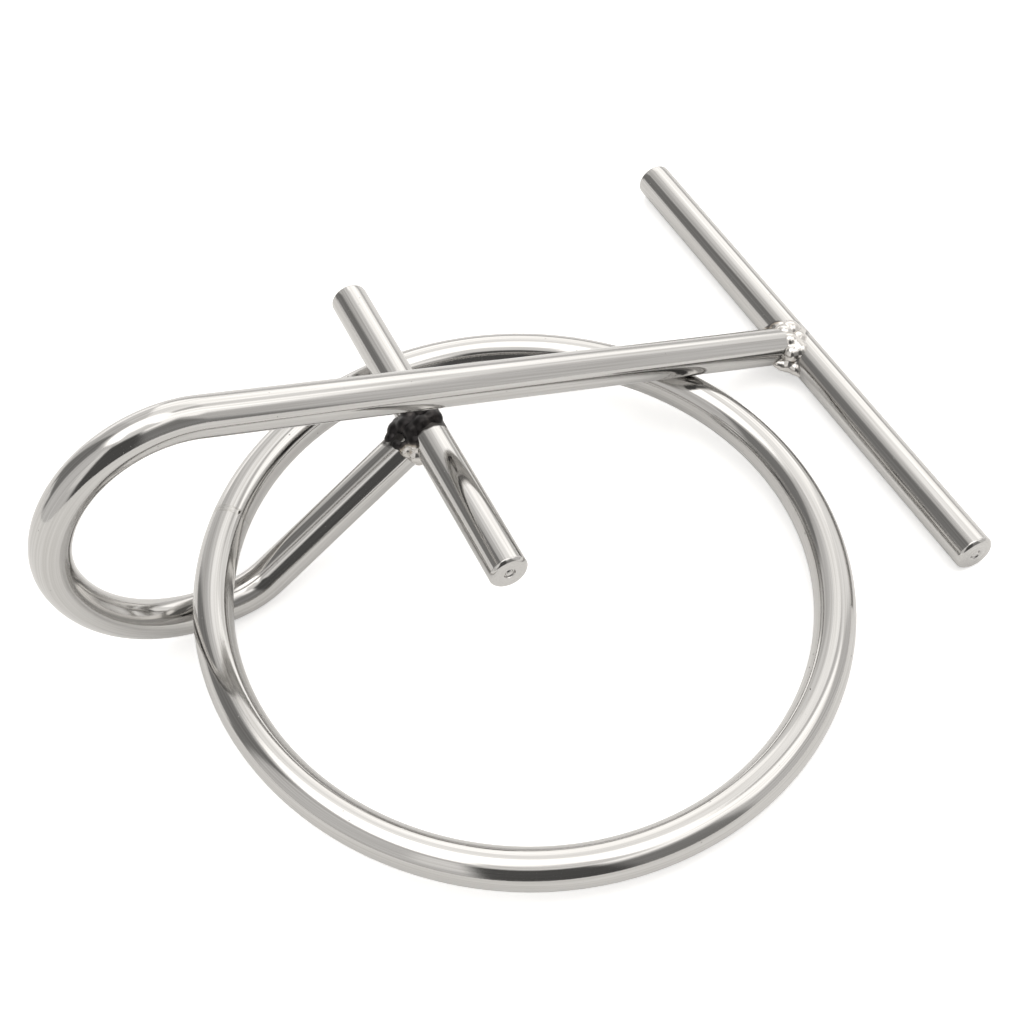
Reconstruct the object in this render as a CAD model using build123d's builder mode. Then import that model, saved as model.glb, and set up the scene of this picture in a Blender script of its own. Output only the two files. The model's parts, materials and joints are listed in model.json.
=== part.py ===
"""Ring and hook disentanglement puzzle, made of round stainless rod.

Two free pieces: a closed ring, and a hook with a crossbar welded across each
of its two ends. The ring is trapped in the loop that the hook bends round. It
comes out only when it lies flat in the slot between the short crossbar and
the long arm, which is just wider than the rod.

The puzzle is modelled as it rests on a table, +Z up, with the table at Z = 0.
The hook stands on its long crossbar and on the lowest point of its bend. The
ring leans on the hook's short limb, and the long arm passes over it.
"""

import os
from math import degrees

from build123d import *

os.makedirs("parts", exist_ok=True)

# ---------------------------------------------------------------- rod
rod_d = 6.0
rod_r = rod_d / 2
end_chamfer = 0.4

# ---------------------------------------------------------------- ring
ring_r = 45.5                     # radius of the rod's centre line
ring_centre = Vector(-2.44, -9.83, 6.64)
ring_normal = Vector(0.049, -0.063, 1.0)
seam_width = 1.2                  # butt weld, along the rod
seam_angle = 136.5                # where the weld lies round the ring

# ---------------------------------------------------------------- hook
arm_foot = Vector(60.58, 11.17, rod_r)   # where the arm meets the long crossbar's axis
arm_length = 106.7                # crossbar axis to the start of the bend
arm_slope = 23.27                 # the arm rises from the table at this angle
bend_radii = (18.3, 26.7, 11.6)   # centre line, from the arm to the short limb
bend_angles = (122.0, 74.5, 31.5)
loop_twist = 4.6                  # sideways lead of the loop after its first bend
limb_length = 32.4               # end of the bend to the short crossbar's axis
root_gap = 0.6                    # rod ends stop this far short of a crossbar's axis

# ---------------------------------------------------------------- crossbars
long_bar_near = 49.0
long_bar_far = 47.0
long_bar_yaw = 2.95
short_bar_near = 30.6
short_bar_far = 31.4
short_bar_yaw = 4.3

# ---------------------------------------------------------------- welds
bead_radius = 4.6                 # in the plane of the joint
bead_half_width = 3.6             # across the joint
bead_rise = 2.2                   # bead centre above the crossbar's axis


def bar_direction(yaw):
    """Unit vector along a crossbar, from its near end to its far end."""
    return Vector(0, 1, 0).rotate(Axis.Z, -yaw)


# ---------------------------------------------------------------- hook centre line
arm_direction = Vector(-1, 0, 0).rotate(Axis.Y, arm_slope)
arm_plane = Plane(origin=arm_foot, x_dir=arm_direction, z_dir=(0, -1, 0))

with BuildLine(arm_plane) as arm_path:
    arm = Line((root_gap, 0), (arm_length, 0))
    first_bend = JernArc(arm @ 1, arm % 1, bend_radii[0], bend_angles[0])

loop_plane = Plane(
    origin=first_bend @ 1,
    x_dir=first_bend % 1,
    z_dir=Vector(0, -1, 0).rotate(Axis((0, 0, 0), first_bend % 1), -loop_twist),
)

with BuildLine(loop_plane) as loop_path:
    second_bend = JernArc(first_bend @ 1, first_bend % 1, bend_radii[1], bend_angles[1])
    third_bend = JernArc(second_bend @ 1, second_bend % 1, bend_radii[2], bend_angles[2])
    limb = Line(third_bend @ 1, third_bend @ 1 + (third_bend % 1) * (limb_length - root_gap))

hook_path = Wire(arm_path.edges() + loop_path.edges())
limb_direction = limb % 1
limb_foot = limb @ 1 + limb_direction * root_gap

long_bar_axis = bar_direction(long_bar_yaw)
short_bar_axis = bar_direction(short_bar_yaw)

# ---------------------------------------------------------------- crossbars
with BuildPart() as long_crossbar:
    with BuildSketch(Plane(origin=arm_foot - long_bar_axis * long_bar_near, z_dir=long_bar_axis)):
        Circle(rod_r)
    extrude(amount=long_bar_near + long_bar_far)
    chamfer(long_crossbar.edges().filter_by(GeomType.CIRCLE), end_chamfer)

with BuildPart() as short_crossbar:
    with BuildSketch(Plane(origin=limb_foot - short_bar_axis * short_bar_near, z_dir=short_bar_axis)):
        Circle(rod_r)
    extrude(amount=short_bar_near + short_bar_far)
    chamfer(short_crossbar.edges().filter_by(GeomType.CIRCLE), end_chamfer)

# ---------------------------------------------------------------- hook rod, coped to both crossbars
with BuildPart() as hook_rod:
    with BuildSketch(Plane(origin=arm @ 0, z_dir=arm % 0)):
        Circle(rod_r)
    sweep(path=hook_path)
    add(long_crossbar.part, mode=Mode.SUBTRACT)
    add(short_crossbar.part, mode=Mode.SUBTRACT)


# ---------------------------------------------------------------- weld beads
def joint_plane(foot, rod_direction, bar_axis):
    """Plane at a T joint: X along the rod away from the crossbar, Z across the joint."""
    return Plane(origin=foot + rod_direction * bead_rise, x_dir=rod_direction, z_dir=rod_direction.cross(bar_axis))


def weld_bead(plane, bar, side):
    """One half of the bead round a T joint: a flattened blob less the two rods."""
    with BuildPart() as bead:
        with BuildSketch(Plane(origin=plane.origin, x_dir=plane.x_dir, z_dir=plane.y_dir)):
            with BuildLine():
                crown = EllipticalCenterArc((0, 0), bead_radius, bead_half_width, start_angle=-90, arc_size=180)
                Line(crown @ 1, crown @ 0)
            make_face()
        revolve(axis=Axis(plane.origin, plane.z_dir), revolution_arc=360)
        add(bar, mode=Mode.SUBTRACT)
        add(hook_rod.part, mode=Mode.SUBTRACT)
        split(bisect_by=Plane(origin=plane.origin, z_dir=plane.y_dir), keep=side)
    return bead


long_joint = joint_plane(arm_foot, arm_direction, long_bar_axis)
long_joint_weld_near = weld_bead(long_joint, long_crossbar.part, Keep.BOTTOM)
long_joint_weld_far = weld_bead(long_joint, long_crossbar.part, Keep.TOP)
short_joint = joint_plane(limb_foot, limb_direction * -1, short_bar_axis)
short_joint_weld_near = weld_bead(short_joint, short_crossbar.part, Keep.BOTTOM)
short_joint_weld_far = weld_bead(short_joint, short_crossbar.part, Keep.TOP)

# ---------------------------------------------------------------- ring and its butt weld
ring_plane = Plane(origin=ring_centre, x_dir=(1, 0, 0), z_dir=ring_normal)
seam_arc = degrees(seam_width / ring_r)


def ring_length(start, arc):
    """A length of the ring's rod, from a start angle over an arc, in degrees."""
    with BuildPart() as length:
        with BuildLine(ring_plane) as path:
            route = CenterArc((0, 0), ring_r, start, arc)
        with BuildSketch(Plane(origin=route @ 0, z_dir=route % 0)):
            Circle(rod_r)
        sweep(path=path.wires()[0])
    return length


ring_bar = ring_length(seam_angle + seam_arc / 2, 360 - seam_arc)
ring_butt_weld = ring_length(seam_angle - seam_arc / 2, seam_arc)

# ---------------------------------------------------------------- export
pieces = {
    "ring_bar": ring_bar,
    "ring_butt_weld": ring_butt_weld,
    "hook_rod": hook_rod,
    "long_crossbar": long_crossbar,
    "short_crossbar": short_crossbar,
    "long_joint_weld_near": long_joint_weld_near,
    "long_joint_weld_far": long_joint_weld_far,
    "short_joint_weld_near": short_joint_weld_near,
    "short_joint_weld_far": short_joint_weld_far,
}

for name, piece in pieces.items():
    piece.part.label = name
    export_step(piece.part, f"parts/{name}.step")
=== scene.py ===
"""Ring and hook puzzle of polished steel rod on a white table, in soft studio light.

Each CAD node is replaced by a smooth piece of the same size and place: rods are swept
tubes with turned or coped ends, and welds are lumpy beads with heat tint.
"""

import json
from math import cos, pi, radians, sin, sqrt

import bmesh
import bpy
import numpy as np
from mathutils import Matrix, Quaternion, Vector, noise


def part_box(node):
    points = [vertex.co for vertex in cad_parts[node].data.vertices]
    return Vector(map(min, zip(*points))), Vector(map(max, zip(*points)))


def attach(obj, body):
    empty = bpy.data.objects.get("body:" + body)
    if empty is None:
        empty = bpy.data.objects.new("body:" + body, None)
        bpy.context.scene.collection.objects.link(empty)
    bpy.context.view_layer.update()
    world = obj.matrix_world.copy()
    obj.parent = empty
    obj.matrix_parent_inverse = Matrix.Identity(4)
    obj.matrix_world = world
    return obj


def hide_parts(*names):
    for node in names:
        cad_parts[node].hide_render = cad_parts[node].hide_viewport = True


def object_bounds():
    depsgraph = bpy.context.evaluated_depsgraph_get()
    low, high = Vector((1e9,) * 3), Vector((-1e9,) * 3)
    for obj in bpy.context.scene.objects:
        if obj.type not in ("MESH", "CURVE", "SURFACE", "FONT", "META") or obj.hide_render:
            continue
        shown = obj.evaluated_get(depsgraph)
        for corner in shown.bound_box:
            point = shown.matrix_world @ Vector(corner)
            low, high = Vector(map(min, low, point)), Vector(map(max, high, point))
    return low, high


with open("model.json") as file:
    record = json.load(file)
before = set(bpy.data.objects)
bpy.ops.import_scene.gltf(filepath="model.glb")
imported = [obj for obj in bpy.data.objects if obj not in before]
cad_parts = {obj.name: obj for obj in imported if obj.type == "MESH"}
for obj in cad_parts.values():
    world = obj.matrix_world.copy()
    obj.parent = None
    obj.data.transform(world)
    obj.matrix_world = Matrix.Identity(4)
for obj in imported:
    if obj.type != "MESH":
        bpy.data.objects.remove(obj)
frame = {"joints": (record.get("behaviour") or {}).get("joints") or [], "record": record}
cad_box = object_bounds()
MM = 0.001

# ---------------------------------------------------------------- sizes, from the frame
mounts = {mount["name"]: mount for mount in frame["record"]["mounts"]}
joint = frame["joints"][0]
rod_r = mounts["long_crossbar_near_end"]["dims"]["r_mm"] * MM
ring_centre = Vector(joint["pos_m"])
ring_normal = Vector(joint["axis"]).normalized()

# ---------------------------------------------------------------- sizes of the hook
long_bar_near, long_bar_far = 49.0 * MM, 47.0 * MM
short_bar_near, short_bar_far = 30.6 * MM, 31.4 * MM
arm_length = 106.7 * MM
arm_slope = 23.27
bends = ((18.3 * MM, 122.0), (26.7 * MM, 74.5), (11.6 * MM, 31.5))
loop_twist = 4.6
limb_length = 32.4 * MM
ring_r = 45.5 * MM
seam_width = 1.2 * MM

# ---------------------------------------------------------------- how finely the meshes are cut
AROUND = 96                       # points round a rod
BEND_STEP = radians(1.25)
STRAIGHT_STEP = 1.5 * MM
CAP_RINGS = 6                     # from the middle of a coped end to its edge
COPE_ROOM = 1.6                   # rod radii at a coped end that hold no other loop
CAP_ROOM = 0.3 * MM               # the same beyond a turned end's last ring
SHARP_EDGE = radians(50)
WELD_VOXEL = 0.14 * MM


def clamped(value):
    """The value, kept between 0 and 1."""
    return min(1.0, max(0.0, value))


# ---------------------------------------------------------------- routes
def crossbar_axis(face):
    """Far-pointing direction of a crossbar, from its near end face."""
    return -Vector(mounts[face]["axis"]).normalized()


def crossbar_foot(face, near):
    """Where the hook's rod meets a crossbar's axis."""
    return Vector(mounts[face]["pos_m"]) + crossbar_axis(face) * near


def straight(route, length):
    """Carries the route straight on."""
    point, heading = route[-1]
    steps = max(1, round(length / STRAIGHT_STEP))
    route += [(point + heading * length * i / steps, heading) for i in range(1, steps + 1)]


def bend(route, normal, radius, angle):
    """Turns the route about a centre to its side, through an angle in degrees."""
    point, heading = route[-1]
    centre = point + normal.cross(heading) * radius
    steps = round(radians(angle) / BEND_STEP)
    for i in range(1, steps + 1):
        turn = Quaternion(normal, radians(angle) * i / steps)
        route.append((centre + turn @ (point - centre), turn @ heading))


def hook_route():
    """Centre line from the long crossbar's axis, round the loop, to the short crossbar's."""
    foot = crossbar_foot("long_crossbar_near_face", long_bar_near)
    normal = Vector((0, -1, 0))
    slope = radians(arm_slope)
    route = [(foot, Vector((-cos(slope), 0, sin(slope))))]
    straight(route, arm_length)
    bend(route, normal, *bends[0])
    normal = Quaternion(route[-1][1], radians(-loop_twist)) @ normal
    bend(route, normal, *bends[1])
    bend(route, normal, *bends[2])
    straight(route, limb_length)
    return route


def ring_route(start, arc):
    """Centre line of a length of the ring, anticlockwise from a radial direction."""
    steps = max(4, round(arc / BEND_STEP))
    route = []
    for i in range(steps + 1):
        out = Quaternion(ring_normal, arc * i / steps) @ start
        route.append((ring_centre + out * ring_r, ring_normal.cross(out)))
    return route


# ---------------------------------------------------------------- joints
hook_line = hook_route()
long_axis = crossbar_axis("long_crossbar_near_face")
short_axis = crossbar_axis("short_crossbar_near_face")


def joint_axes(foot, rod, bar):
    """A T joint's own axes: along the rod, along the crossbar, and up out of the joint."""
    up = rod.cross(bar).normalized()
    if up.z < 0:
        up = -up
    across = up.cross(rod).normalized()
    if across.dot(bar) < 0:
        across = -across
    return foot, rod, across, up


long_joint = joint_axes(hook_line[0][0], hook_line[0][1], long_axis)
short_joint = joint_axes(hook_line[-1][0], -hook_line[-1][1], short_axis)


def scorch_and_shade(joint, reach, fade, most, clean_side=None):
    """Darkening of a rod round a weld: a function of place, 0 to 1. The near side may be clean. At
    the short joint the darkening is partly painted shade under the long arm.
    """
    foot, _, bar, _ = joint

    def tint(place):
        away = (place - foot).length / MM
        amount = most * clamped((reach - away) / fade)
        if clean_side is not None:
            amount *= clamped((place - foot).dot(bar) / MM - clean_side)
        return amount

    return tint


# ---------------------------------------------------------------- meshes
def make_piece(name, verts, faces, rod_space=None, tints=()):
    """A smooth object from a mesh, with the attributes that the rods' material reads."""
    mesh = bpy.data.meshes.new(name)
    mesh.from_pydata(verts, [], faces)
    mesh.validate()
    mesh.shade_smooth()
    mesh.set_sharp_from_angle(angle=SHARP_EDGE)
    if rod_space is not None:
        layer = mesh.attributes.new("rod_space", "FLOAT_VECTOR", "POINT")
        layer.data.foreach_set("vector", np.array(rod_space, np.float32).ravel())
        amounts = [max((tint(v.co) for tint in tints), default=0.0) for v in mesh.vertices]
        point_layer(mesh, "weld_tint_and_shade", amounts)
    piece = bpy.data.objects.new(name, mesh)
    bpy.context.scene.collection.objects.link(piece)
    return piece


def point_layer(mesh, name, values):
    """Stores one number at each point of a mesh."""
    mesh.attributes.new(name, "FLOAT", "POINT").data.foreach_set("value", values)


def carried_sides(route, side):
    """A direction across the route at each point, carried along without twist."""
    sides = []
    for _, heading in route:
        side = (side - heading * side.dot(heading)).normalized()
        sides.append(side)
    return sides


def cope_depth(offset, heading, bar_axis):
    """How far along heading a line at offset from a crossbar's axis meets the crossbar."""
    across = heading - bar_axis * heading.dot(bar_axis)
    level = offset - bar_axis * offset.dot(bar_axis)
    b = across.dot(level)
    a = across.length_squared
    c = level.length_squared - rod_r**2
    return (-b + sqrt(max(0.0, b * b - a * c))) / a


def tube(name, route, side, start_caps, end_caps, tints=()):
    """A round rod along a route. Caps are lists of (radius, setback) or a crossbar's axis.

    rod_space holds each point's place in the rod laid out straight, so that the grain
    follows the bends.
    """
    sides = carried_sides(route, side)
    verts, space, loops = [], [], []
    travelled = 0.0

    def add_loop(point, heading, across, along, radius, cope=None):
        loops.append(len(verts))
        up = heading.cross(across)
        for k in range(AROUND):
            angle = 2 * pi * k / AROUND
            offset = (across * cos(angle) + up * sin(angle)) * radius
            shift = Vector((0, 0, 0))
            if cope is not None:
                bar_axis, inward = cope
                shift = inward * cope_depth(offset, inward, bar_axis)
            verts.append(point + offset + shift)
            space.append((along, radius * cos(angle), radius * sin(angle)))

    def add_cap(index, caps, inward, along, opening):
        point, heading = route[index]
        if isinstance(caps, Vector):
            rings = [(rod_r * step / CAP_RINGS, 0) for step in range(1, CAP_RINGS + 1)]
            cope = (caps, inward)
        else:
            rings, cope = caps, None
        for radius, setback in rings if opening else reversed(rings):
            place = point + inward * setback
            reached = along + setback * inward.dot(heading)
            add_loop(place, heading, sides[index], reached, radius, cope)

    add_cap(0, start_caps, route[0][1], 0.0, True)
    for i in range(1, len(route) - 1):
        travelled += (route[i][0] - route[i - 1][0]).length
        clear = True
        for end, caps in ((0, start_caps), (-1, end_caps)):
            coped = isinstance(caps, Vector)
            room = rod_r * COPE_ROOM if coped else caps[-1][1] + CAP_ROOM
            clear = clear and (route[i][0] - route[end][0]).length > room
        if clear:
            add_loop(route[i][0], route[i][1], sides[i], travelled, rod_r)
    travelled += (route[-1][0] - route[-2][0]).length
    add_cap(-1, end_caps, -route[-1][1], travelled, False)

    faces = []
    for a, b in zip(loops, loops[1:]):
        for k in range(AROUND):
            j = (k + 1) % AROUND
            faces.append((a + k, a + j, b + j, b + k))
    faces.append(tuple(reversed(range(loops[0], loops[0] + AROUND))))
    faces.append(tuple(range(loops[-1], loops[-1] + AROUND)))
    return make_piece(name, verts, faces, space, tints)


def turned_end(pip_r, pip_sink, chamfer, groove):
    """Cap profile of a faced bar end: a centre pip, a tool ring and a rolled chamfer.

    Each pair is a radius and how far that radius is set back from the face.
    """
    lip, shelf = 0.03 * MM, 0.035 * MM
    pip = [
        (0.12 * MM, 0.02 * MM), (pip_r * 0.55, lip), (pip_r * 0.8, pip_sink),
        (pip_r, pip_sink), (pip_r * 1.15, lip), (pip_r * 1.3, 0.0),
    ]
    tool_ring = [
        (groove - 0.14 * MM, 0.0), (groove - 0.05 * MM, shelf),
        (groove + 0.05 * MM, shelf), (groove + 0.14 * MM, 0.0),
    ]
    flat = rod_r - chamfer
    rim = [
        (flat - 0.06 * MM, 0.0), (flat, 0.015 * MM), (rod_r - chamfer * 0.5, chamfer * 0.42),
        (rod_r - 0.06 * MM, chamfer * 0.9), (rod_r - 0.015 * MM, chamfer * 1.06),
        (rod_r, chamfer * 1.25), (rod_r, chamfer * 1.5),
    ]
    return pip + tool_ring + rim


def rolled_end(roll):
    """Cap profile of a bar end whose edge is rolled over, with no tool marks."""
    flat = rod_r - roll
    profile = [(flat * 0.1, 0.0), (flat * 0.5, 0.0), (flat * 0.93, 0.0)]
    for angle in range(0, 91, 15):
        turn = radians(angle)
        profile.append((flat + roll * sin(turn), roll * (1 - cos(turn))))
    return profile


def crossbar(name, face, near, far, near_profile, far_profile, tint):
    """A straight bar through a joint, from its near end face."""
    axis = crossbar_axis(face)
    foot = crossbar_foot(face, near)
    route = [(foot - axis * near, axis)]
    straight(route, near + far)
    return tube(name, route, Vector((0, 0, 1)), near_profile, far_profile, [tint])


# ---------------------------------------------------------------- the object
end_chamfer = 0.42 * MM
end_roll = 0.45 * MM
hook_rod = tube(
    "hook_rod_polished", hook_line, Vector((0, 1, 0)), long_axis, short_axis,
    # near the short joint this darkening is partly painted shade under the long arm
    [scorch_and_shade(long_joint, 5.3, 0.6, 0.45), scorch_and_shade(short_joint, 7.0, 1.2, 1.0, clean_side=-1.6)],
)

long_crossbar = crossbar(
    "long_crossbar_polished", "long_crossbar_near_face", long_bar_near, long_bar_far,
    turned_end(0.75 * MM, 0.24 * MM, end_chamfer, 1.6 * MM), rolled_end(end_roll),
    scorch_and_shade(long_joint, 4.0, 0.5, 0.3),
)
# the short crossbar's blackening at the joint is partly painted shade under the long arm
short_crossbar = crossbar(
    "short_crossbar_polished", "short_crossbar_near_face", short_bar_near, short_bar_far,
    turned_end(0.8 * MM, 0.28 * MM, end_chamfer, 1.65 * MM), rolled_end(end_roll),
    scorch_and_shade(short_joint, 4.1, 0.6, 0.9),
)

weld_low, weld_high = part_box("ring_butt_weld")
seam_out = (weld_low + weld_high) / 2 - ring_centre
seam_out = (seam_out - ring_normal * seam_out.dot(ring_normal)).normalized()
half_seam = seam_width / 2 / ring_r
flat_cut = [(rod_r * 0.2, 0.0), (rod_r * 0.6, 0.0), (rod_r, 0.0)]
ring_bar = tube(
    "ring_bar_polished",
    ring_route(Quaternion(ring_normal, half_seam) @ seam_out, 2 * pi - 2 * half_seam),
    ring_normal, flat_cut, flat_cut,
)
ring_weld = tube(
    "ring_butt_weld_ground",
    ring_route(Quaternion(ring_normal, -half_seam) @ seam_out, 2 * half_seam),
    ring_normal, flat_cut, flat_cut,
)


# ---------------------------------------------------------------- welds
SMOOTH_PASSES = 26
RIPPLE_SCALE, RIPPLE = 300, 0.09 * MM
BLOTCH_SCALE = 350
TABLE_GAP = 0.05 * MM             # the beads stay this far above the table
CREASE_PASSES, CREASE_DEPTH = 12, 0.16
FILLET_STEP = 10                  # degrees round the rod
FILLET_SWELL, FILLET_RADIUS = 0.25, 1.1
FILLET_CROWN = 0.28               # how much closer the fillet lies above and below the rod


def bead(name, joint, lumps, seed, soot_and_shade):
    """Weld metal: lumps fused and roughened.

    A lump is its place along the rod, along the crossbar and up, and its radius, in mm.
    """
    foot, rod, bar, up = joint
    verts, faces = [], []
    for along, across, high, radius in lumps:
        work = bmesh.new()
        bmesh.ops.create_icosphere(work, subdivisions=3, radius=radius * MM)
        place = foot + (rod * along + bar * across + up * high) * MM
        start = len(verts)
        verts += [v.co + place for v in work.verts]
        faces += [tuple(start + v.index for v in f.verts) for f in work.faces]
        work.free()
    piece = make_piece(name, verts, faces)
    fuse = piece.modifiers.new("fuse", "REMESH")
    fuse.mode = "VOXEL"
    fuse.voxel_size = WELD_VOXEL
    soften = piece.modifiers.new("soften", "SMOOTH")
    soften.factor = 0.5
    soften.iterations = SMOOTH_PASSES
    graph = bpy.context.evaluated_depsgraph_get()
    fused = bpy.data.meshes.new_from_object(piece.evaluated_get(graph))
    piece.modifiers.clear()
    old = piece.data
    piece.data = fused
    bpy.data.meshes.remove(old)
    normals = [v.normal.copy() for v in fused.vertices]
    for v, normal in zip(fused.vertices, normals):
        ripple = noise.noise(v.co * RIPPLE_SCALE + Vector((seed, 0, 0)))
        v.co += normal * ripple * RIPPLE
        v.co.z = max(v.co.z, cad_box[0].z + TABLE_GAP)
    fused.shade_smooth()
    tints = []
    for v in fused.vertices:
        blotch = noise.noise(v.co * BLOTCH_SCALE + Vector((seed, 4, 2)))
        tints.append(clamped(soot_and_shade(v.co) * (1.0 + 0.5 * blotch)))
    point_layer(fused, "weld_tint_and_shade", tints)
    point_layer(fused, "crease", hollows(fused))
    return piece


def sooted_and_shaded(joint, patch, radius, inside, outside):
    """Soot as a function of place: one amount in a ball at the joint, another round it. At the
    short joint it is partly painted shade under the long arm.
    """
    foot, rod, bar, up = joint
    along, across, high = patch
    centre = foot + (rod * along + bar * across + up * high) * MM

    def soot_and_shade(place):
        leaving = ((place - centre).length / MM - radius) / 0.7 + 0.5
        return inside + (outside - inside) * clamped(leaving)

    return soot_and_shade


def hollows(mesh):
    """How far each point lies below its neighbours, 0 to 1, for darkening in the creases."""
    count = len(mesh.vertices)
    co = np.zeros(count * 3)
    normal = np.zeros(count * 3)
    mesh.vertices.foreach_get("co", co)
    mesh.vertices.foreach_get("normal", normal)
    co, normal = co.reshape(-1, 3), normal.reshape(-1, 3)
    ends = np.zeros(len(mesh.edges) * 2, np.int64)
    mesh.edges.foreach_get("vertices", ends)
    a, b = ends.reshape(-1, 2).T
    smooth = co.copy()
    degree = np.bincount(np.concatenate([a, b]), minlength=count)[:, None]
    for _ in range(CREASE_PASSES):
        total = np.zeros_like(smooth)
        np.add.at(total, a, smooth[b])
        np.add.at(total, b, smooth[a])
        smooth = total / degree
    depth = ((smooth - co) * normal).sum(1) / MM
    return np.clip(depth / CREASE_DEPTH, 0, 1).astype(np.float32)


def fillet(joint, first, seed):
    """Lumps for half of the plain bead that runs round the root of a T joint."""
    foot, rod, bar, up = joint
    lumps = []
    for i in range(180 // FILLET_STEP + 1):
        angle = radians(first + FILLET_STEP * i)
        offset = (bar * cos(angle) + up * sin(angle)) * rod_r
        depth = cope_depth(offset, rod, bar)
        corner = abs(cos(angle))
        level = (rod_r / MM) * (1 - (1 - corner) * FILLET_CROWN) + FILLET_SWELL * corner
        uneven = noise.noise(Vector((seed, i * 0.61, first * 0.01)))
        size = FILLET_RADIUS * (1 + 0.2 * uneven)
        out = depth / MM + FILLET_SWELL * corner
        lumps.append((out, level * cos(angle), level * sin(angle), size))
    return lumps


def weld_pair(prefix, joint, near_lumps, far_lumps, seed, soot_and_shade):
    """The near and far halves of the bead round a T joint."""
    near = fillet(joint, 90, seed) + near_lumps
    far = fillet(joint, -90, seed) + far_lumps
    return [
        bead(f"{prefix}_weld_near_bead", joint, near, seed, soot_and_shade),
        bead(f"{prefix}_weld_far_bead", joint, far, seed + 1, soot_and_shade),
    ]


# lumps that stand out of the plain bead: along the rod, along the crossbar, up, radius (mm)
LONG_NEAR_LUMPS = [
    (1.3, -1.1, 1.9, 1.6), (3.2, -1.1, 1.9, 1.5), (2.1, -2.9, 1.2, 1.75), (3.5, -2.8, 0.8, 1.5),
    (2.3, -3.8, -0.2, 1.5), (3.6, -3.4, -1.0, 1.4), (3.1, -4.7, -1.0, 1.1), (2.6, -5.5, -1.1, 0.9),
    (4.5, -3.2, -1.3, 1.0), (5.3, -2.8, -1.2, 0.8),
]
LONG_FAR_LUMPS = [
    (1.5, 1.1, 2.1, 1.8), (3.1, 0.7, 2.0, 1.5), (2.4, 2.6, 1.3, 1.5), (2.7, 3.1, -0.2, 1.2),
]
SHORT_NEAR_LUMPS = [
    (3.9, -1.9, 1.5, 1.4), (2.3, -2.6, 1.5, 1.6), (3.4, -3.0, 0.5, 1.5), (3.7, -3.1, -0.6, 1.1),
    (-0.2, -1.0, 1.9, 1.75), (-1.9, -0.9, 1.3, 1.6), (1.6, -0.8, 2.1, 1.7), (4.6, -0.6, 1.9, 1.3),
]
SHORT_FAR_LUMPS = [
    (4.6, 1.0, 1.9, 1.4), (3.2, 1.7, 1.8, 1.7), (1.7, 0.7, 2.2, 1.8), (0.5, 1.7, 2.0, 1.7),
    (-1.4, 1.0, 1.5, 1.8), (-2.0, 0.3, 1.0, 1.6), (4.0, 2.3, 0.6, 1.4), (2.4, 2.8, 0.8, 1.6),
    (5.6, 1.0, 1.3, 1.1),
]
long_welds = weld_pair(
    "long_joint", long_joint, LONG_NEAR_LUMPS, LONG_FAR_LUMPS, 3.0,
    sooted_and_shaded(long_joint, (2.4, 3.6, 1.4), 1.7, 1.0, 0.0),
)
# the short joint's black is partly real weld blackening and partly painted shade under the long arm
# just above it
short_welds = weld_pair(
    "short_joint", short_joint, SHORT_NEAR_LUMPS, SHORT_FAR_LUMPS, 8.0,
    sooted_and_shaded(short_joint, (3.7, -3.2, 0.7), 2.4, 0.1, 1.0),
)


# ---------------------------------------------------------------- materials
class Nodes:
    """Short ways to add and link the nodes of one material."""

    def __init__(self, tree):
        self.tree = tree

    def add(self, kind, **inputs):
        node = self.tree.nodes.new(kind)
        for key, value in inputs.items():
            name = key.replace("_", " ")
            if isinstance(value, bpy.types.NodeSocket):
                self.tree.links.new(value, node.inputs[name])
            else:
                node.inputs[name].default_value = value
        return node

    def math(self, operation, *values):
        node = self.tree.nodes.new("ShaderNodeMath")
        node.operation = operation
        for socket, value in zip(node.inputs, values):
            if isinstance(value, bpy.types.NodeSocket):
                self.tree.links.new(value, socket)
            else:
                socket.default_value = value
        return node.outputs[0]

    def ramp(self, value, *stops):
        node = self.tree.nodes.new("ShaderNodeValToRGB")
        ramp = node.color_ramp
        while len(ramp.elements) < len(stops):
            ramp.elements.new(0.5)
        for element, (place, colour) in zip(ramp.elements, stops):
            if not isinstance(colour, tuple):
                colour = (colour, colour, colour)
            element.position = place
            element.color = (*colour, 1)
        self.tree.links.new(value, node.inputs[0])
        return node.outputs[0]

    def mix(self, factor, first, second):
        """Colour from first to second; second is a plain colour."""
        node = self.tree.nodes.new("ShaderNodeMix")
        node.data_type = "RGBA"
        self.tree.links.new(factor, node.inputs["Factor"])
        self.tree.links.new(first, node.inputs[6])
        node.inputs[7].default_value = (*second, 1)
        return node.outputs[2]

    def scaled(self, vector, scale):
        node = self.tree.nodes.new("ShaderNodeVectorMath")
        node.operation = "MULTIPLY"
        self.tree.links.new(vector, node.inputs[0])
        node.inputs[1].default_value = scale
        return node.outputs[0]


def new_material(name):
    """A metal with one shader: the material, its nodes and the shader."""
    material = bpy.data.materials.new(name)
    material.use_nodes = True
    nodes = Nodes(material.node_tree)
    material.node_tree.nodes.clear()
    shader = nodes.add("ShaderNodeBsdfPrincipled", Metallic=1.0)
    output = nodes.add("ShaderNodeOutputMaterial")
    material.node_tree.links.new(shader.outputs[0], output.inputs[0])
    return material, nodes, shader


def attribute(nodes, name):
    """What a piece's mesh stores under a name."""
    node = nodes.tree.nodes.new("ShaderNodeAttribute")
    node.attribute_name = name
    return node.outputs["Vector" if name == "rod_space" else "Fac"]


def noise_at(nodes, place, scale, detail):
    """Noise from 0 to 1, with its own number of cells per metre along each axis."""
    place = nodes.scaled(place, scale)
    node = nodes.add("ShaderNodeTexNoise", Vector=place, Scale=1.0, Detail=detail)
    return node.outputs["Fac"]


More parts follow.
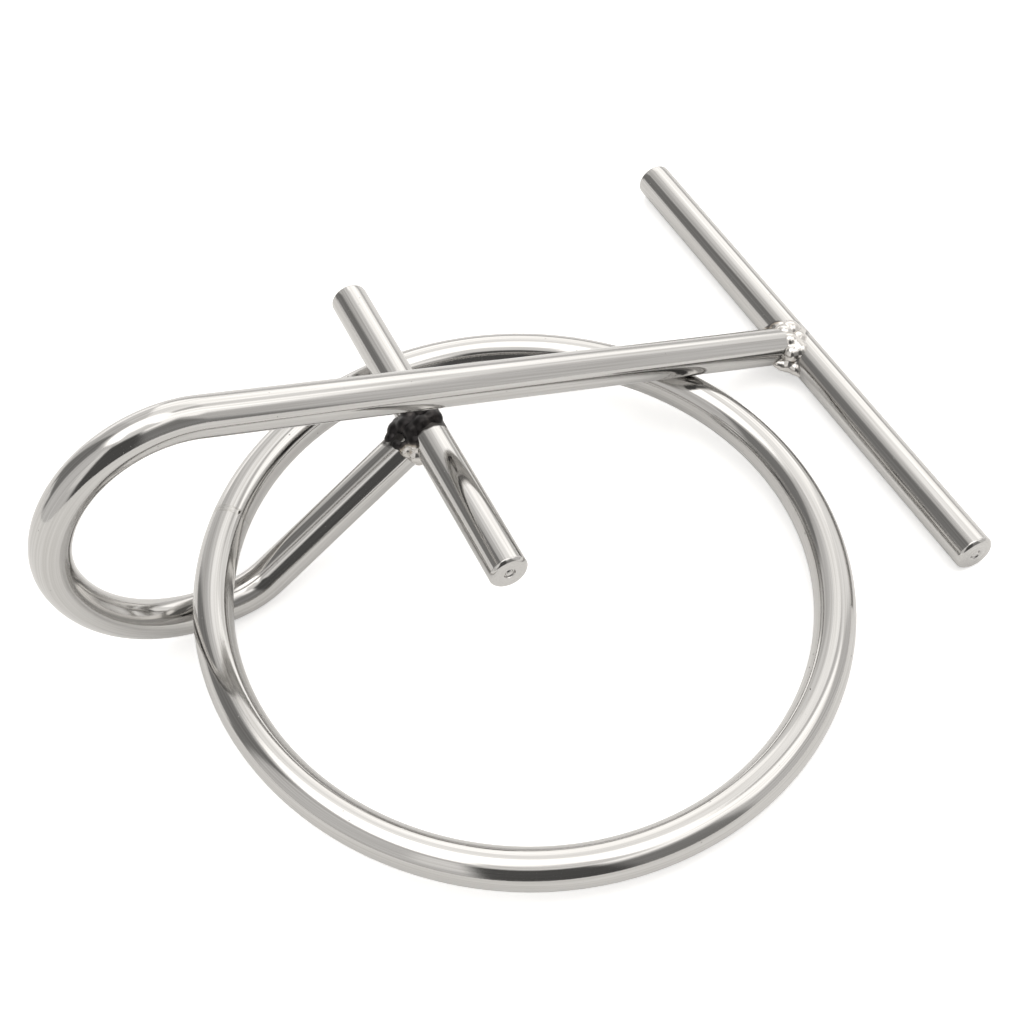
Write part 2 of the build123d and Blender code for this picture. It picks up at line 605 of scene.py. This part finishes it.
def polished_rod():
    """Steel drawn and polished along its length, with a few pits, blued near the welds. The pits'
    dark colour is painted shade in the holes, and the darkening near the short joint is partly
    painted shade under the long arm.
    """
    material, nodes, shader = new_material("polished_rod")
    link = material.node_tree.links.new
    place = attribute(nodes, "rod_space")
    grain = noise_at(nodes, place, (40, 4600, 4600), 3.0)
    drawn = noise_at(nodes, place, (9, 1250, 1250), 2.0)
    smudge = noise_at(nodes, place, (140, 300, 300), 4.0)
    speckle = noise_at(nodes, place, (2500, 3600, 3600), 2.0)
    pits = noise_at(nodes, place, (1500, 1700, 1700), 1.0)
    # the pits' dark colour below is painted shade in the holes
    pit = nodes.ramp(pits, (0.0, 1.0), (0.185, 1.0), (0.22, 0.0))
    tone = nodes.ramp(grain, (0.3, (0.455, 0.445, 0.43)), (0.7, (0.56, 0.552, 0.54)))
    blotch = noise_at(nodes, place, (600, 500, 500), 3.0)
    patchy = nodes.math("SUBTRACT", blotch, 1.0)
    # heat tint near the welds, partly painted shade under the long arm at the short joint
    burn_and_shade = nodes.math("MULTIPLY_ADD", attribute(nodes, "weld_tint_and_shade"), 1.9, patchy)
    burn_and_shade = nodes.ramp(burn_and_shade, (0.0, 0.0), (0.3, 1.0))
    soot_and_shade = nodes.mix(burn_and_shade, tone, (0.045, 0.042, 0.04))
    pitted = nodes.mix(nodes.math("MULTIPLY", pit, 0.75), soot_and_shade, (0.07, 0.065, 0.06))
    link(pitted, shader.inputs["Base Color"])
    rough = nodes.math("MULTIPLY_ADD", smudge, 0.13, 0.035)
    rough = nodes.math("MULTIPLY_ADD", pit, 0.35, rough)
    link(nodes.math("MULTIPLY_ADD", burn_and_shade, 0.22, rough), shader.inputs["Roughness"])
    height = nodes.math("MULTIPLY_ADD", drawn, 2.0, grain)
    height = nodes.math("MULTIPLY_ADD", speckle, 0.5, height)
    height = nodes.math("MULTIPLY_ADD", pit, -6.0, height)
    bump = nodes.add("ShaderNodeBump", Strength=1.0, Distance=0.0022 * MM, Height=height)
    link(bump.outputs[0], shader.inputs["Normal"])
    return material


def ground_weld():
    """A butt weld ground flush: cross-ground, with pin holes where the gap didn't fill. The pin
    holes' dark colour is painted shade in the holes.
    """
    material, nodes, shader = new_material("ground_weld")
    link = material.node_tree.links.new
    place = attribute(nodes, "rod_space")
    grind = noise_at(nodes, place, (2600, 900, 900), 3.0)
    gap = noise_at(nodes, place, (700, 900, 900), 1.0)
    # pin holes: their dark colour is painted shade
    hole = nodes.ramp(gap, (0.0, 1.0), (0.25, 1.0), (0.3, 0.0))
    tone = nodes.ramp(grind, (0.3, (0.42, 0.41, 0.39)), (0.7, (0.54, 0.53, 0.515)))
    link(nodes.mix(hole, tone, (0.06, 0.055, 0.05)), shader.inputs["Base Color"])
    link(nodes.math("MULTIPLY_ADD", grind, 0.2, 0.05), shader.inputs["Roughness"])
    height = nodes.math("MULTIPLY_ADD", hole, -5.0, grind)
    bump = nodes.add("ShaderNodeBump", Strength=1.0, Distance=0.003 * MM, Height=height)
    link(bump.outputs[0], shader.inputs["Normal"])
    return material


def weld_bead():
    """Weld metal: bright where it has been wire-brushed, black with sooty scale elsewhere. At the
    short joint the black is partly painted shade under the long arm.
    """
    material, nodes, shader = new_material("weld_bead")
    link = material.node_tree.links.new
    place = nodes.add("ShaderNodeTexCoord").outputs["Object"]
    stain = noise_at(nodes, place, (550, 550, 550), 3.0)
    scale = noise_at(nodes, place, (800, 800, 800), 1.0)
    soot_and_shade, crease = attribute(nodes, "weld_tint_and_shade"), attribute(nodes, "crease")
    # darker in the creases, plus weld blackening, which is partly painted shade at the short joint,
    # and stains
    dirt_and_shade = nodes.math("MULTIPLY_ADD", crease, 0.9, soot_and_shade)
    uneven = nodes.math("SUBTRACT", stain, 0.5)
    dirt_and_shade = nodes.math("MULTIPLY_ADD", uneven, 0.8, dirt_and_shade)
    tone = nodes.ramp(
        dirt_and_shade, (0.12, (0.62, 0.6, 0.575)), (0.4, (0.36, 0.32, 0.27)),
        (0.62, (0.1, 0.09, 0.085)), (0.95, (0.03, 0.028, 0.028)),
    )
    link(tone, shader.inputs["Base Color"])
    link(nodes.ramp(dirt_and_shade, (0.15, 0.17), (0.8, 0.36)), shader.inputs["Roughness"])
    bump = nodes.add("ShaderNodeBump", Strength=1.0, Distance=0.02 * MM, Height=scale)
    link(bump.outputs[0], shader.inputs["Normal"])
    return material


polished, ground, beaded = polished_rod(), ground_weld(), weld_bead()
finish = (
    (hook_rod, "hook", "hook_rod", polished, "polished_rod"),
    (long_crossbar, "hook", "long_crossbar", polished, "polished_rod"),
    (short_crossbar, "hook", "short_crossbar", polished, "polished_rod"),
    (long_welds[0], "hook", "long_joint_weld_near", beaded, "weld_bead"),
    (long_welds[1], "hook", "long_joint_weld_far", beaded, "weld_bead"),
    (short_welds[0], "hook", "short_joint_weld_near", beaded, "weld_bead"),
    (short_welds[1], "hook", "short_joint_weld_far", beaded, "weld_bead"),
    (ring_bar, "ring", "ring_bar", polished, "polished_rod"),
    (ring_weld, "ring", "ring_butt_weld", ground, "ground_weld"),
)
for piece, body, node, material, slot in finish:
    piece.data.materials.append(material)
    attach(piece, body)
    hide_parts(node)


# ---------------------------------------------------------------- table
TABLE_HALF = 1.5
TABLE_GLOW, EXTRA_FOR_CAMERA = 0.12, 0.36


def table():
    """A white table. The camera sees it over-exposed, as a product picture's ground is."""
    half = TABLE_HALF
    low = cad_box[0].z
    verts = [(-half, -half, low), (half, -half, low), (half, half, low), (-half, half, low)]
    piece = make_piece("table_top", verts, [(0, 1, 2, 3)])
    material, nodes, shader = new_material("white_table")
    shader.inputs["Metallic"].default_value = 0.0
    shader.inputs["Base Color"].default_value = (0.88, 0.875, 0.865, 1)
    shader.inputs["Roughness"].default_value = 0.8
    shader.inputs["Emission Color"].default_value = (1, 1, 1, 1)
    seen = nodes.add("ShaderNodeLightPath").outputs["Is Camera Ray"]
    glow = nodes.math("MULTIPLY_ADD", seen, EXTRA_FOR_CAMERA, TABLE_GLOW)
    nodes.tree.links.new(glow, shader.inputs["Emission Strength"])
    piece.data.materials.append(material)


table()


# ---------------------------------------------------------------- studio light
def studio():
    """Soft panels round the table, as a sky. The camera sees a plain backdrop instead."""
    world = bpy.data.worlds.new("studio")
    bpy.context.scene.world = world
    world.use_nodes = True
    world.node_tree.nodes.clear()
    nodes = Nodes(world.node_tree)
    link = world.node_tree.links.new
    ray = nodes.add("ShaderNodeTexCoord").outputs["Generated"]
    split = nodes.add("ShaderNodeSeparateXYZ", Vector=ray)
    elevation = nodes.math("ARCSINE", split.outputs["Z"])
    level = AMBIENT
    for azimuth, az_half, low, high, soft, radiance in PANELS:
        turned = nodes.add("ShaderNodeVectorRotate", Vector=ray, Angle=radians(azimuth))
        turned.rotation_type = "Z_AXIS"
        parts = nodes.add("ShaderNodeSeparateXYZ", Vector=turned.outputs[0])
        side = nodes.math("ABSOLUTE", nodes.math("ARCTAN2", parts.outputs["X"], parts.outputs["Y"]))
        masks = [
            edge(nodes, side, radians(az_half), -radians(soft)),
            edge(nodes, elevation, radians(low), radians(soft)),
            edge(nodes, elevation, radians(high), -radians(soft)),
        ]
        mask = nodes.math("MULTIPLY", nodes.math("MULTIPLY", masks[0], masks[1]), masks[2])
        gap = nodes.math("SUBTRACT", radiance, level)
        level = nodes.math("MULTIPLY_ADD", gap, mask, level)
    seen = nodes.add("ShaderNodeLightPath").outputs["Is Camera Ray"]
    plain = nodes.math("SUBTRACT", BACKDROP, level)
    level = nodes.math("MULTIPLY_ADD", plain, seen, level)
    background = nodes.add("ShaderNodeBackground", Strength=level)
    background.inputs["Color"].default_value = (1.0, 0.985, 0.965, 1)
    output = nodes.add("ShaderNodeOutputWorld")
    link(background.outputs[0], output.inputs[0])


def edge(nodes, value, place, width):
    """0 to 1 as value passes place, over width; falling if width is negative."""
    node = nodes.tree.nodes.new("ShaderNodeMapRange")
    node.interpolation_type = "SMOOTHSTEP"
    nodes.tree.links.new(value, node.inputs["Value"])
    node.inputs["From Min"].default_value = place - abs(width) / 2
    node.inputs["From Max"].default_value = place + abs(width) / 2
    node.inputs["To Min"].default_value = 0.0 if width > 0 else 1.0
    node.inputs["To Max"].default_value = 1.0 if width > 0 else 0.0
    return node.outputs[0]


AMBIENT = 0.86
BACKDROP = 1.02
# azimuth from +Y towards +X, half width, lowest and highest elevation, softness, radiance
PANELS = (
    (-133, 9, 18, 58, 7, 1.15),
    (-10, 20, 11, 62, 8, 0.82),
    (8, 12, 14, 62, 6, 1.05),
    (45, 27, 40, 68, 7, 1.5),
    (-50, 23, 3, 60, 8, 0.3),
    (-52, 11, -3, 10, 4, 1.05),
    (42, 28, 14, 43, 5, 1.95),
    (79, 11, 4, 45, 8, 1.3),
    (0, 13, -5, 13, 5, 1.75),
    (135, 40, 50, 74, 8, 1.9),
    (113, 24, 35, 73, 8, 1.95),
    (166, 20, -3, 44, 8, 0.34),
    (-161, 20, -3, 57, 8, 0.12),
    (0, 181, 66, 91, 5, 2.4),
    (-178, 32, 58, 77, 7, 1.15),
)
studio()


# ---------------------------------------------------------------- camera
CAMERA_PLACE = Vector((-66.71, -146.51, 215.40)) * MM
CAMERA_RIGHT = Vector((0.8865, -0.44939, -0.11034))
CAMERA_FORWARD = Vector((0.20329, 0.59244, -0.77954))


def camera():
    """The photograph's point of view."""
    data = bpy.data.cameras.new("camera")
    data.lens = 61.2
    data.sensor_width = 36.0
    data.shift_x = 0.1142
    data.shift_y = -0.0005
    data.clip_start = 0.01
    right = CAMERA_RIGHT.normalized()
    forward = CAMERA_FORWARD.normalized()
    up = right.cross(forward).normalized()
    right = forward.cross(up)
    camera = bpy.data.objects.new("camera", data)
    turn = Matrix((right, up, -forward)).transposed().to_4x4()
    camera.matrix_world = Matrix.Translation(CAMERA_PLACE) @ turn
    bpy.context.scene.collection.objects.link(camera)
    bpy.context.scene.camera = camera


camera()
bpy.context.scene.view_settings.view_transform = "Standard"
